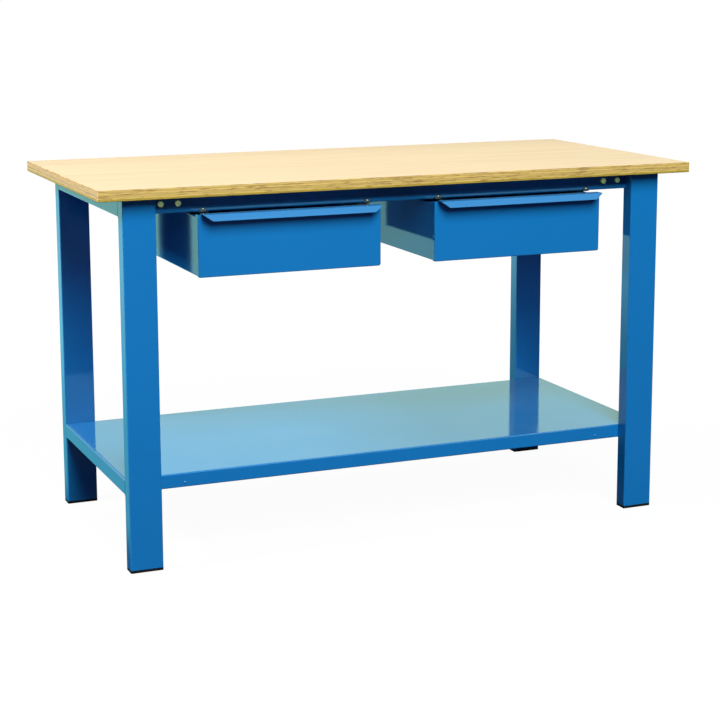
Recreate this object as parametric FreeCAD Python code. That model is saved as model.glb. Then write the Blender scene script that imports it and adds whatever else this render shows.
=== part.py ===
import FreeCAD, Part
import cmath
import math
import os

# Steel workbench with a plywood top, two hanging drawers and a lower shelf.
# Millimetres. X runs along the bench, Y from the user's side to the back, Z up.
# The origin is on the floor, under the centre of the worktop.

# Worktop
TOP_LENGTH = 1500.0
TOP_DEPTH = 700.0
TOP_THICKNESS = 25.0
TOP_EDGE_BEVEL = 1.0
BENCH_HEIGHT = 885.0

# Legs: rectangular tube, set in from the worktop's edges
LEG_WIDTH = 77.0
LEG_DEPTH = 38.0
LEG_WALL = 2.0
LEG_CORNER = 3.0
END_OVERHANG = 64.0
FRONT_OVERHANG = 40.0
REAR_OVERHANG = 22.0

# Foot caps: plugs that close the tubes and stand on the floor
CAP_BASE = 6.5
CAP_PLUG = 22.0
CAP_WALL = 2.5
CAP_CLEARANCE = 0.3

# Side rails: tubes welded between the front and rear leg of each end frame
UPPER_SIDE_RAIL_HEIGHT = 44.0
LOWER_SIDE_RAIL_HEIGHT = 35.0
SIDE_RAIL_WIDTH = 25.0
SIDE_RAIL_WALL = 2.0
SIDE_RAIL_CORNER = 2.5

# Long rails: folded channels between the legs, open outwards, with an upturned lip along the bottom
LONG_RAIL_HEIGHT = 40.0
LONG_RAIL_DEPTH = 15.0
LONG_RAIL_LIP = 8.5
LONG_RAIL_SHEET = 2.0
LONG_RAIL_BEND = 1.5
RAIL_END_GAP = 0.5

# Corner brackets and the bolts that hold the long rails to them
BRACKET_PLATE = 4.0
BRACKET_BEND = 4.0
BRACKET_WELD_LEG = 38.0
BRACKET_EDGE = 18.0
BRACKET_INSET = 3.0
RAIL_BOLT_FROM_LEG = 21.0
RAIL_BOLT_PITCH = 40.0
RAIL_BOLT_RADIUS = 4.0
RAIL_BOLT_HEAD_FLATS = 13.0
RAIL_BOLT_HEAD_HEIGHT = 5.3
RAIL_BOLT_DISH = 0.8
RAIL_NUT_HEIGHT = 6.5
BOLT_END_STANDOUT = 2.0
BOLT_HOLE_CLEARANCE = 0.5
NUT_BORE_CLEARANCE = 0.15

# Shelf: folded tray that lies on the lower side rails
SHELF_TOP_HEIGHT = 213.0
SHELF_SHEET = 1.5
SHELF_BEND = 1.5
SHELF_FLANGE = 34.0
SHELF_RETURN = 12.0
SHELF_EDGE_GAP = 0.5
SHELF_END_SETBACK = 5.0
SHELF_SCREW_FROM_LEG = 66.0
SHELF_SCREW_DROP = 23.0
SHELF_SCREW_RADIUS = 2.0
SHELF_SCREW_HEAD_RADIUS = 3.2
SHELF_SCREW_HEAD_HEIGHT = 2.2
SHELF_NUT_FLATS = 7.0
SHELF_NUT_HEIGHT = 3.2
SHELF_CLEAT_PLATE = 3.0
SHELF_CLEAT_HEIGHT = 24.0
SHELF_CLEAT_LIFT = 1.5

# Worktop screws, up through the long rails' top flanges
TOP_SCREW_RADIUS = 2.8
TOP_SCREW_HEAD_FLATS = 8.0
TOP_SCREW_HEAD_HEIGHT = 3.5
TOP_SCREW_BITE = 17.0
TOP_SCREW_FROM_LEG = 39.0
TOP_SCREWS_PER_RAIL = 4
PILOT_CLEARANCE = 0.3

# Drawers
DRAWER_TO_LEG = 94.0
DRAWER_GAP = 138.0
DRAWER_PROUD_OF_LEGS = 8.0
DRAWER_FRONT_HEIGHT = 146.0
DRAWER_FRONT_DROP = 0.5
DRAWER_FRONT_SHEET = 1.5
DRAWER_FRONT_BEND = 1.0
DRAWER_FRONT_RETURN = 15.0
DRAWER_RELIEF_GAP = 0.4
TRAY_DEPTH = 612.0
TRAY_SHEET = 1.2
TRAY_BEND = 1.5
TRAY_FLANGE = 26.0
DRAWER_BACK_TAB = 15.0

# Pull: the drawer front's top edge, folded forward and down
PULL_END_INSET = 7.5
PULL_REACH = 25.0
PULL_LIP_DROP = 15.0
PULL_LIP_FLARE = 6.0
PULL_END_CHAMFER = 19.0

# Drawer runners: channels hung under the long rails, open towards the drawer's sides
RUNNER_WIDTH = 32.0
RUNNER_SHEET = 2.0
RUNNER_BEND = 1.0
RUNNER_SIDE_GAP = 3.5
RUNNER_FRONT_SETBACK = 10.0
RUNNER_TAB_WIDTH = 14.0
RUNNER_SCREW_RISE = 5.3
RUNNER_SCREW_RADIUS = 1.75
RUNNER_SCREW_HEAD_RADIUS = 2.9
RUNNER_SCREW_HEAD_HEIGHT = 2.2
RUNNER_SCREW_LENGTH = 9.0
SCREW_HOLE_CLEARANCE = 0.2
RUNNER_STOP_WIDTH = 16.0
RUNNER_STOP_GAP = 0.3
DRAWER_BACK_GAP = 2.5

# Nylon glides: a pad at each runner's front, a shoe on each drawer flange's rear
GLIDE_THICKNESS = 5.7
GLIDE_CLEARANCE = 0.3
GLIDE_SIDE_CLEARANCE = 1.2
GLIDE_PAD_LENGTH = 20.0
GLIDE_PAD_SETBACK = 3.0
GLIDE_SPIGOT_RADIUS = 3.0
GLIDE_SHOE_LENGTH = 40.0
DRAWER_TRAVEL = 500.0
DRAWER_STOP_CLEARANCE = 1.0

# Shanks, bores and round heads of the small fasteners are prisms with this many sides
ROUND_SIDES = 10

# Places that follow from the sizes above
TOP_UNDERSIDE = BENCH_HEIGHT - TOP_THICKNESS
LEG_OUTER_X = TOP_LENGTH / 2 - END_OVERHANG
LEG_INNER_X = LEG_OUTER_X - LEG_WIDTH
FRONT_LEG_FACE_Y = -TOP_DEPTH / 2 + FRONT_OVERHANG
FRONT_RAIL_Y = FRONT_LEG_FACE_Y + LEG_DEPTH
REAR_RAIL_Y = TOP_DEPTH / 2 - REAR_OVERHANG - LEG_DEPTH
SIDE_RAIL_INNER_X = LEG_OUTER_X - SIDE_RAIL_WIDTH
LONG_RAIL_BOTTOM = TOP_UNDERSIDE - LONG_RAIL_HEIGHT
LONG_RAIL_MIDDLE = TOP_UNDERSIDE - LONG_RAIL_HEIGHT / 2
RAIL_BOLT_XS = (LEG_INNER_X - RAIL_BOLT_FROM_LEG, LEG_INNER_X - RAIL_BOLT_FROM_LEG - RAIL_BOLT_PITCH)
BRACKET_END_X = RAIL_BOLT_XS[1] - BRACKET_EDGE
SHELF_UNDERSIDE = SHELF_TOP_HEIGHT - SHELF_SHEET
SHELF_SCREW_X = LEG_INNER_X - SHELF_SCREW_FROM_LEG
SHELF_SCREW_Z = SHELF_TOP_HEIGHT - SHELF_SCREW_DROP
SHELF_CLEAT_BOTTOM = SHELF_TOP_HEIGHT - SHELF_FLANGE + SHELF_SHEET + SHELF_CLEAT_LIFT

DRAWER_FRONT_Y = FRONT_LEG_FACE_Y - DRAWER_PROUD_OF_LEGS
DRAWER_FRONT_TOP = LONG_RAIL_BOTTOM - DRAWER_FRONT_DROP
DRAWER_FRONT_BOTTOM = DRAWER_FRONT_TOP - DRAWER_FRONT_HEIGHT
DRAWER_WIDTH = LEG_INNER_X - DRAWER_TO_LEG - DRAWER_GAP / 2
DRAWER_CENTRE_X = (DRAWER_GAP + DRAWER_WIDTH) / 2
DRAWER_CORNER_RELIEF = DRAWER_FRONT_SHEET + DRAWER_FRONT_BEND + DRAWER_RELIEF_GAP
TRAY_HALF = DRAWER_WIDTH / 2 - DRAWER_FRONT_SHEET
TRAY_FRONT_Y = DRAWER_FRONT_Y + DRAWER_FRONT_SHEET + DRAWER_FRONT_BEND
TRAY_REAR_Y = TRAY_FRONT_Y + TRAY_DEPTH
TRAY_BOTTOM = DRAWER_FRONT_BOTTOM + DRAWER_FRONT_SHEET
GLIDE_GAP = GLIDE_THICKNESS + GLIDE_CLEARANCE
TRAY_TOP = LONG_RAIL_BOTTOM - RUNNER_SHEET - GLIDE_GAP
TRAY_FLANGE_UNDERSIDE = TRAY_TOP - TRAY_SHEET
RUNNER_LEDGE = TRAY_FLANGE_UNDERSIDE - GLIDE_GAP
RUNNER_BOTTOM = RUNNER_LEDGE - RUNNER_SHEET
RUNNER_OUTER = TRAY_HALF - TRAY_SHEET - RUNNER_SIDE_GAP
RUNNER_INNER = RUNNER_OUTER - RUNNER_WIDTH
RUNNER_MIDDLE = RUNNER_OUTER - RUNNER_WIDTH / 2
RUNNER_SCREW_Z = LONG_RAIL_BOTTOM + RUNNER_SCREW_RISE
FRONT_LIP_Y = FRONT_RAIL_Y - LONG_RAIL_DEPTH
REAR_LIP_Y = REAR_RAIL_Y + LONG_RAIL_DEPTH
RUNNER_FRONT_Y = FRONT_LIP_Y + RUNNER_FRONT_SETBACK
GLIDE_INNER = RUNNER_INNER + RUNNER_SHEET + GLIDE_SIDE_CLEARANCE
GLIDE_OUTER = RUNNER_OUTER - GLIDE_SIDE_CLEARANCE
GLIDE_PAD_FRONT_Y = RUNNER_FRONT_Y + GLIDE_PAD_SETBACK
GLIDE_PAD_REAR_Y = GLIDE_PAD_FRONT_Y + GLIDE_PAD_LENGTH
GLIDE_SHOE_FRONT_Y = GLIDE_PAD_REAR_Y + DRAWER_TRAVEL + DRAWER_STOP_CLEARANCE

# The four corners: name, side along X, rail plane and the way from it into the bench along Y
CORNERS = [
    ("front_left", -1, FRONT_RAIL_Y, 1),
    ("front_right", 1, FRONT_RAIL_Y, 1),
    ("rear_left", -1, REAR_RAIL_Y, -1),
    ("rear_right", 1, REAR_RAIL_Y, -1),
]
RAILS = [("front", FRONT_RAIL_Y, 1), ("rear", REAR_RAIL_Y, -1)]
SIDES = [("left", -1), ("right", 1)]
Z_AXIS = FreeCAD.Vector(0, 0, 1)
HEXAGON = 6


def vector(x, y, z):
    return FreeCAD.Vector(x, y, z)


# Planes that flat sections are drawn in: each turns (across, up) into a point in space
def plane_xy(z):
    return lambda across, up: vector(across, up, z)


def plane_xz(y):
    return lambda across, up: vector(across, y, up)


def plane_yz(x):
    return lambda across, up: vector(x, across, up)


def rounded_chain(points, radii, plane):
    """Edges through the points (complex numbers), with an arc of the given radius at each inner point."""

    def at(point):
        return plane(point.real, point.imag)

    edges = []
    start = points[0]
    for before, corner, after, radius in zip(points, points[1:], points[2:], radii):
        arriving = (corner - before) / abs(corner - before)
        leaving = (after - corner) / abs(after - corner)
        turn = abs(cmath.phase(leaving / arriving))
        setback = radius * math.tan(turn / 2)
        first = corner - arriving * setback
        last = corner + leaving * setback
        inward = (leaving - arriving) / abs(leaving - arriving)
        middle = corner + inward * radius * (1 / math.cos(turn / 2) - 1)
        edges.append(Part.LineSegment(at(start), at(first)).toShape())
        edges.append(Part.Arc(at(first), at(middle), at(last)).toShape())
        start = last
    edges.append(Part.LineSegment(at(start), at(points[-1])).toShape())
    return edges


def folded_section(points, sheet, bend, plane):
    """Face of a bent sheet: points follow its middle, and bend is the radius inside each fold."""
    path = [complex(*point) for point in points]
    runs = [(b - a) / abs(b - a) for a, b in zip(path, path[1:])]
    to_left = [run * 1j * sheet / 2 for run in runs]
    shifts = [to_left[0]]
    for run, shift, next_run in zip(runs, to_left, runs[1:]):
        half_turn = cmath.phase(next_run / run) / 2
        shifts.append(shift * cmath.exp(1j * half_turn) / math.cos(half_turn))
    shifts.append(to_left[-1])
    left = [point + shift for point, shift in zip(path, shifts)]
    right = [point - shift for point, shift in zip(path, shifts)]
    turns_left = [cmath.phase(b / a) > 0 for a, b in zip(runs, runs[1:])]
    left_radii = [bend if turn else bend + sheet for turn in turns_left]
    right_radii = [bend + sheet if turn else bend for turn in turns_left]
    edges = rounded_chain(left, left_radii, plane)
    edges += rounded_chain([left[-1], right[-1]], [], plane)
    edges += rounded_chain(right[::-1], right_radii[::-1], plane)
    edges += rounded_chain([right[0], left[0]], [], plane)
    return Part.Face(Part.Wire(Part.__sortEdges__(edges)))


def polygon(points, plane):
    corners = [plane(*point) for point in points]
    return Part.Face(Part.makePolygon(corners + corners[:1]))


def rounded_rectangle(low, high, radius, plane):
    """Face of a rectangle between two (across, up) corners, with rounded corners."""
    (a0, b0), (a1, b1) = low, high
    middle = complex((a0 + a1) / 2, b0)
    corners = [complex(a1, b0), complex(a1, b1), complex(a0, b1), complex(a0, b0)]
    edges = rounded_chain([middle, *corners, middle], [radius] * len(corners), plane)
    return Part.Face(Part.Wire(Part.__sortEdges__(edges)))


def tube(low, high, wall, corner, plane, along):
    """Rectangular tube, round outside its corners, drawn in a plane and drawn out along a vector."""
    a0, b0 = (edge + wall for edge in low)
    a1, b1 = (edge - wall for edge in high)
    outside = rounded_rectangle(low, high, corner, plane).extrude(along)
    inside = polygon([(a0, b0), (a1, b0), (a1, b1), (a0, b1)], plane).extrude(along)
    return outside.cut(inside)


def block(low, high):
    size = [b - a for a, b in zip(low, high)]
    return Part.makeBox(*size, vector(*low))


def ordered(a, b):
    return min(a, b), max(a, b)


def turned_to(shape, place, direction):
    """A shape built at the origin along +Z, turned to a direction and moved to its place."""
    turned = shape.copy()
    turned.Placement = FreeCAD.Placement(place, FreeCAD.Rotation(Z_AXIS, direction))
    return turned


def ring(sides, radius, z):
    """Outline of a regular polygon about the Z axis, with its corners at the radius."""
    turns = [2 * math.pi * i / sides for i in range(sides)]
    corners = [vector(radius * math.cos(turn), radius * math.sin(turn), z) for turn in turns]
    return Part.makePolygon(corners + corners[:1])


def prism(sides, radius, height):
    return Part.Face(ring(sides, radius, 0)).extrude(vector(0, 0, height))


def taper(sides, low_radius, high_radius, low, high):
    """Solid that tapers between two regular polygons at two heights on the Z axis."""
    return Part.makeLoft([ring(sides, low_radius, low), ring(sides, high_radius, high)], True, True)


def rod(radius, place, direction, length):
    return turned_to(prism(ROUND_SIDES, radius, length), place, direction)


def hexagon_prism(flats, height):
    return prism(HEXAGON, flats / math.sqrt(3), height)


def hexagon_bolt(radius, flats, head_height, length):
    """Bolt with a hexagon head above z = 0 and its shank below."""
    return hexagon_prism(flats, head_height).fuse(rod(radius, vector(0, 0, -length), Z_AXIS, length))


def dished_bolt(radius, flats, head_height, dish, length):
    """Hexagon bolt whose head is turned to a bevel at its corners and hollowed at its top."""
    turned = taper(2 * HEXAGON, flats / 2 + head_height, flats / 2, 0, head_height)
    recess = taper(2 * HEXAGON, flats / 4, flats / 4 + dish, head_height - dish, head_height)
    head = hexagon_prism(flats, head_height).common(turned).cut(recess)
    return head.fuse(rod(radius, vector(0, 0, -length), Z_AXIS, length))


def pan_screw(radius, head_radius, head_height, length):
    """Screw with a low bevelled round head above z = 0 and its shank below."""
    bevel = head_height / 2
    rim = prism(ROUND_SIDES, head_radius, head_height - bevel)
    crown = taper(ROUND_SIDES, head_radius, head_radius - bevel, head_height - bevel, head_height)
    return rim.multiFuse([crown, rod(radius, vector(0, 0, -length), Z_AXIS, length)])


def group(shapes):
    return Part.makeCompound(shapes)


# Worktop and its screws
def top_screw_places():
    """Points on the long rails' top flanges, under the worktop, where its screws pass."""
    last = LEG_INNER_X - TOP_SCREW_FROM_LEG
    spacing = 2 * last / (TOP_SCREWS_PER_RAIL - 1)
    for _, rail_y, inward in RAILS:
        y = rail_y - inward * (LONG_RAIL_DEPTH + LONG_RAIL_SHEET) / 2
        for i in range(TOP_SCREWS_PER_RAIL):
            yield vector(i * spacing - last, y, TOP_UNDERSIDE)


def worktop():
    half_length = TOP_LENGTH / 2
    half_depth = TOP_DEPTH / 2
    board = block((-half_length, -half_depth, TOP_UNDERSIDE), (half_length, half_depth, BENCH_HEIGHT))
    board = board.makeChamfer(TOP_EDGE_BEVEL, board.Edges)
    pilots = [
        rod(TOP_SCREW_RADIUS + PILOT_CLEARANCE, place, Z_AXIS, TOP_SCREW_BITE + PILOT_CLEARANCE)
        for place in top_screw_places()
    ]
    return board.cut(group(pilots))


def worktop_screws():
    length = LONG_RAIL_SHEET + TOP_SCREW_BITE
    screw = hexagon_bolt(TOP_SCREW_RADIUS, TOP_SCREW_HEAD_FLATS, TOP_SCREW_HEAD_HEIGHT, length)
    seat = vector(0, 0, -LONG_RAIL_SHEET)
    return group([turned_to(screw, place + seat, -Z_AXIS) for place in top_screw_places()])


# End frames
def leg(side, rail_y, inward):
    x0, x1 = ordered(side * LEG_OUTER_X, side * LEG_INNER_X)
    y0, y1 = ordered(rail_y, rail_y - inward * LEG_DEPTH)
    height = TOP_UNDERSIDE - CAP_BASE
    return tube((x0, y0), (x1, y1), LEG_WALL, LEG_CORNER, plane_xy(CAP_BASE), vector(0, 0, height))


def foot_cap(side, rail_y, inward):
    """Flat base the size of the tube, with a hollow plug that stands up inside it."""
    x0, x1 = ordered(side * LEG_OUTER_X, side * LEG_INNER_X)
    y0, y1 = ordered(rail_y, rail_y - inward * LEG_DEPTH)
    base = rounded_rectangle((x0, y0), (x1, y1), LEG_CORNER, plane_xy(0)).extrude(vector(0, 0, CAP_BASE))
    inset = LEG_WALL + CAP_CLEARANCE
    hollow = inset + CAP_WALL
    plug_top = CAP_BASE + CAP_PLUG
    plug = block((x0 + inset, y0 + inset, CAP_BASE), (x1 - inset, y1 - inset, plug_top))
    inside = block((x0 + hollow, y0 + hollow, CAP_BASE), (x1 - hollow, y1 - hollow, plug_top))
    return base.fuse(plug.cut(inside)).removeSplitter()


def side_rail(side, top, height):
    x0, x1 = ordered(side * LEG_OUTER_X, side * SIDE_RAIL_INNER_X)
    along = vector(0, REAR_RAIL_Y - FRONT_RAIL_Y, 0)
    plane = plane_xz(FRONT_RAIL_Y)
    return tube((x0, top - height), (x1, top), SIDE_RAIL_WALL, SIDE_RAIL_CORNER, plane, along)


# Long rails, their brackets and bolts
def rail_bolt_places(rail_y, inward):
    """Points on the outer face of a rail's web, at the middle of its height."""
    web_y = rail_y - inward * LONG_RAIL_SHEET
    return [vector(side * x, web_y, LONG_RAIL_MIDDLE) for _, side in SIDES for x in RAIL_BOLT_XS]


def runner_screw_places(rail_y, inward):
    """Points on the outer face of a rail's lip, where the runners' tabs are screwed on."""
    lip_y = rail_y - inward * LONG_RAIL_DEPTH
    xs = [d * DRAWER_CENTRE_X + s * RUNNER_MIDDLE for _, d in SIDES for _, s in SIDES]
    return [vector(x, lip_y, RUNNER_SCREW_Z) for x in xs]


def long_rail(rail_y, inward):
    half_sheet = LONG_RAIL_SHEET / 2
    web = rail_y - inward * half_sheet
    edge = rail_y - inward * LONG_RAIL_DEPTH
    lip = edge + inward * half_sheet
    low = LONG_RAIL_BOTTOM + half_sheet
    high = TOP_UNDERSIDE - half_sheet
    half_length = LEG_INNER_X - RAIL_END_GAP
    points = [(lip, LONG_RAIL_BOTTOM + LONG_RAIL_LIP), (lip, low), (web, low), (web, high), (edge, high)]
    section = folded_section(points, LONG_RAIL_SHEET, LONG_RAIL_BEND, plane_yz(-half_length))
    channel = section.extrude(vector(2 * half_length, 0, 0))
    through = vector(0, inward, 0)
    holes = [
        rod(RAIL_BOLT_RADIUS + BOLT_HOLE_CLEARANCE, place, through, LONG_RAIL_SHEET)
        for place in rail_bolt_places(rail_y, inward)
    ]
    holes += [
        rod(RUNNER_SCREW_RADIUS + SCREW_HOLE_CLEARANCE, place, through, LONG_RAIL_SHEET)
        for place in runner_screw_places(rail_y, inward)
    ]
    holes += [
        rod(TOP_SCREW_RADIUS + BOLT_HOLE_CLEARANCE, place, -Z_AXIS, LONG_RAIL_SHEET)
        for place in top_screw_places()
    ]
    return channel.cut(group(holes))


def corner_bracket(side, face_y, inward, plate, end_x, low, high):
    """Angle: one leg welded to the side rail, the other along the face that is bolted to it."""
    face = face_y + inward * plate / 2
    weld = side * (SIDE_RAIL_INNER_X - plate / 2)
    points = [(side * end_x, face), (weld, face), (weld, face_y + inward * BRACKET_WELD_LEG)]
    section = folded_section(points, plate, BRACKET_BEND, plane_xy(low))
    return section.extrude(vector(0, 0, high - low))


def rail_bracket(side, rail_y, inward):
    low = LONG_RAIL_BOTTOM + BRACKET_INSET
    high = TOP_UNDERSIDE - BRACKET_INSET
    angle = corner_bracket(side, rail_y, inward, BRACKET_PLATE, BRACKET_END_X, low, high)
    through = vector(0, inward, 0)
    holes = [
        rod(RAIL_BOLT_RADIUS + BOLT_HOLE_CLEARANCE, place, through, LONG_RAIL_SHEET + BRACKET_PLATE)
        for place in rail_bolt_places(rail_y, inward)
    ]
    return angle.cut(group(holes))


def rail_bolts():
    grip = LONG_RAIL_SHEET + BRACKET_PLATE
    length = grip + RAIL_NUT_HEIGHT + BOLT_END_STANDOUT
    bolt = dished_bolt(RAIL_BOLT_RADIUS, RAIL_BOLT_HEAD_FLATS, RAIL_BOLT_HEAD_HEIGHT, RAIL_BOLT_DISH, length)
    return group([
        turned_to(bolt, place, vector(0, -inward, 0))
        for _, rail_y, inward in RAILS
        for place in rail_bolt_places(rail_y, inward)
    ])


def hexagon_nut(radius, flats, height):
    bore = rod(radius + NUT_BORE_CLEARANCE, vector(0, 0, 0), Z_AXIS, height)
    return hexagon_prism(flats, height).cut(bore)


def rail_nuts():
    nut = hexagon_nut(RAIL_BOLT_RADIUS, RAIL_BOLT_HEAD_FLATS, RAIL_NUT_HEIGHT)
    grip = LONG_RAIL_SHEET + BRACKET_PLATE
    return group([
        turned_to(nut, place + vector(0, inward * grip, 0), vector(0, inward, 0))
        for _, rail_y, inward in RAILS
        for place in rail_bolt_places(rail_y, inward)
    ])


# Shelf
def shelf_screw_places():
    """Points on the shelf's front and rear flanges, each with the way into the bench."""
    for _, side, rail_y, inward in CORNERS:
        yield vector(side * SHELF_SCREW_X, rail_y, SHELF_SCREW_Z), vector(0, inward, 0)


def shelf():
    """Tray with folded front and rear flanges; its ends are flat and lie on the side rails."""
    half_sheet = SHELF_SHEET / 2
    front = FRONT_RAIL_Y + half_sheet
    rear = REAR_RAIL_Y - half_sheet
    high = SHELF_TOP_HEIGHT - half_sheet
    low = SHELF_TOP_HEIGHT - SHELF_FLANGE + half_sheet
    points = [
        (FRONT_RAIL_Y + SHELF_RETURN, low),
        (front, low),
        (front, high),
        (rear, high),
        (rear, low),
        (REAR_RAIL_Y - SHELF_RETURN, low),
    ]
    half_length = SIDE_RAIL_INNER_X - SHELF_EDGE_GAP
    section = folded_section(points, SHELF_SHEET, SHELF_BEND, plane_yz(-half_length))
    tray = section.extrude(vector(2 * half_length, 0, 0))
    end_x = LEG_OUTER_X - SHELF_END_SETBACK
    bend_run = SHELF_BEND + SHELF_SHEET
    flat = block(
        (-end_x, FRONT_RAIL_Y + bend_run, SHELF_UNDERSIDE),
        (end_x, REAR_RAIL_Y - bend_run, SHELF_TOP_HEIGHT),
    )
    holes = [
        rod(SHELF_SCREW_RADIUS + SCREW_HOLE_CLEARANCE, place - inward, inward, SHELF_RETURN)
        for place, inward in shelf_screw_places()
    ]
    return tray.fuse(flat).removeSplitter().cut(group(holes))


def shelf_cleat(side, rail_y, inward):
    face_y = rail_y + inward * SHELF_SHEET
    end_x = SHELF_SCREW_X - BRACKET_EDGE
    high = SHELF_CLEAT_BOTTOM + SHELF_CLEAT_HEIGHT
    angle = corner_bracket(side, face_y, inward, SHELF_CLEAT_PLATE, end_x, SHELF_CLEAT_BOTTOM, high)
    holes = [
        rod(SHELF_SCREW_RADIUS + SCREW_HOLE_CLEARANCE, place, way, SHELF_RETURN)
        for place, way in shelf_screw_places()
    ]
    return angle.cut(group(holes))


def shelf_screws():
    length = SHELF_SHEET + SHELF_CLEAT_PLATE + SHELF_NUT_HEIGHT + BOLT_END_STANDOUT
    screw = pan_screw(SHELF_SCREW_RADIUS, SHELF_SCREW_HEAD_RADIUS, SHELF_SCREW_HEAD_HEIGHT, length)
    return group([turned_to(screw, place, -inward) for place, inward in shelf_screw_places()])


def shelf_nuts():
    nut = hexagon_nut(SHELF_SCREW_RADIUS, SHELF_NUT_FLATS, SHELF_NUT_HEIGHT)
    grip = SHELF_SHEET + SHELF_CLEAT_PLATE
    return group([turned_to(nut, place + inward * grip, inward) for place, inward in shelf_screw_places()])


# Drawers, built about x = 0 and then moved to the left or right
def drawer_front():
    """Panel with returns round the tray, and its top folded forward and down as the pull."""
    sheet = DRAWER_FRONT_SHEET
    bend = DRAWER_FRONT_BEND
    middle_y = DRAWER_FRONT_Y + sheet / 2
    return_y = DRAWER_FRONT_Y + DRAWER_FRONT_RETURN
    low = DRAWER_FRONT_BOTTOM + sheet / 2
    high = DRAWER_FRONT_TOP - sheet / 2
    side = DRAWER_WIDTH / 2 - sheet / 2
    bottom_half = DRAWER_WIDTH / 2 - DRAWER_CORNER_RELIEF
    pull_half = DRAWER_WIDTH / 2 - PULL_END_INSET
    lip_top_y = DRAWER_FRONT_Y - PULL_REACH
    lip_end = (lip_top_y - PULL_LIP_FLARE, DRAWER_FRONT_TOP - PULL_LIP_DROP)
    below_pull = DRAWER_FRONT_TOP - DRAWER_CORNER_RELIEF

    bottom_points = [(return_y, low), (middle_y, low), (middle_y, below_pull)]
    bottom = folded_section(bottom_points, sheet, bend, plane_yz(-bottom_half))
    bottom = bottom.extrude(vector(2 * bottom_half, 0, 0))

    pull_points = [(middle_y, low + DRAWER_CORNER_RELIEF), (middle_y, high), (lip_top_y, high), lip_end]
    pull = folded_section(pull_points, sheet, bend, plane_yz(-pull_half))
    pull = pull.extrude(vector(2 * pull_half, 0, 0))

    side_points = [(-side, return_y), (-side, middle_y), (side, middle_y), (side, return_y)]
    side_low = DRAWER_FRONT_BOTTOM + DRAWER_CORNER_RELIEF
    sides = folded_section(side_points, sheet, bend, plane_xy(side_low))
    sides = sides.extrude(vector(0, 0, below_pull - side_low))

    chamfers = []
    chamfer_top = DRAWER_FRONT_TOP - sheet
    chamfer_low = DRAWER_FRONT_TOP - 2 * PULL_LIP_DROP
    slope = PULL_END_CHAMFER / (PULL_LIP_DROP - sheet)
    inner = pull_half - slope * (chamfer_top - chamfer_low)
    for _, way in SIDES:
        corner = [(way * pull_half, chamfer_top), (way * pull_half, chamfer_low), (way * inner, chamfer_low)]
        wedge = polygon(corner, plane_xz(DRAWER_FRONT_Y - sheet))
        chamfers.append(wedge.extrude(vector(0, -PULL_REACH - 2 * PULL_LIP_FLARE, 0)))
    return bottom.multiFuse([pull, sides]).removeSplitter().cut(group(chamfers))


def drawer_tray():
    """Trough of one folded sheet: floor, two sides, and flanges turned in to hang from the runners."""
    half_sheet = TRAY_SHEET / 2
    side = TRAY_HALF - half_sheet
    flange_end = TRAY_HALF - TRAY_FLANGE
    low = TRAY_BOTTOM + half_sheet
    high = TRAY_TOP - half_sheet
    points = [(-flange_end, high), (-side, high), (-side, low), (side, low), (side, high), (flange_end, high)]
    section = folded_section(points, TRAY_SHEET, TRAY_BEND, plane_xz(TRAY_FRONT_Y))
    return section.extrude(vector(0, TRAY_DEPTH, 0))


def drawer_back():
    """Rear wall, low enough to pass under the runners, with tabs welded to the tray's sides."""
    half_sheet = TRAY_SHEET / 2
    side = TRAY_HALF - TRAY_SHEET - half_sheet
    wall_y = TRAY_REAR_Y - half_sheet
    tab_y = TRAY_REAR_Y - DRAWER_BACK_TAB
    points = [(-side, tab_y), (-side, wall_y), (side, wall_y), (side, tab_y)]
    low = TRAY_BOTTOM + TRAY_SHEET + TRAY_BEND
    high = RUNNER_BOTTOM - DRAWER_BACK_GAP
    wall = folded_section(points, TRAY_SHEET, TRAY_BEND, plane_xy(low)).extrude(vector(0, 0, high - low))
    inner = side - TRAY_BEND - TRAY_SHEET
    foot = block((-inner, wall_y - half_sheet, TRAY_BOTTOM + TRAY_SHEET), (inner, TRAY_REAR_Y, low))
    return wall.fuse(foot).removeSplitter()


def drawer_glide_shoes():
    """Nylon blocks clipped over the rear of the tray's flanges; they slide in the runners."""
    flange_end = TRAY_HALF - TRAY_FLANGE
    shoes = []
    for _, side in SIDES:
        outside = [
            (side * GLIDE_INNER, TRAY_FLANGE_UNDERSIDE - GLIDE_THICKNESS),
            (side * GLIDE_OUTER, TRAY_FLANGE_UNDERSIDE - GLIDE_THICKNESS),
            (side * GLIDE_OUTER, TRAY_FLANGE_UNDERSIDE),
            (side * flange_end, TRAY_FLANGE_UNDERSIDE),
            (side * flange_end, TRAY_TOP),
            (side * GLIDE_OUTER, TRAY_TOP),
            (side * GLIDE_OUTER, TRAY_TOP + GLIDE_THICKNESS),
            (side * GLIDE_INNER, TRAY_TOP + GLIDE_THICKNESS),
        ]
        clip = polygon(outside, plane_xz(GLIDE_SHOE_FRONT_Y))
        shoes.append(clip.extrude(vector(0, GLIDE_SHOE_LENGTH, 0)))
    return group(shoes)


# Runners, also built about a drawer's middle
def pad_spigot(side, clearance):
    place = vector(
        side * (GLIDE_INNER + GLIDE_OUTER) / 2,
        (GLIDE_PAD_FRONT_Y + GLIDE_PAD_REAR_Y) / 2,
        RUNNER_BOTTOM,
    )
    return rod(GLIDE_SPIGOT_RADIUS + clearance, place, Z_AXIS, RUNNER_SHEET)


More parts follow.
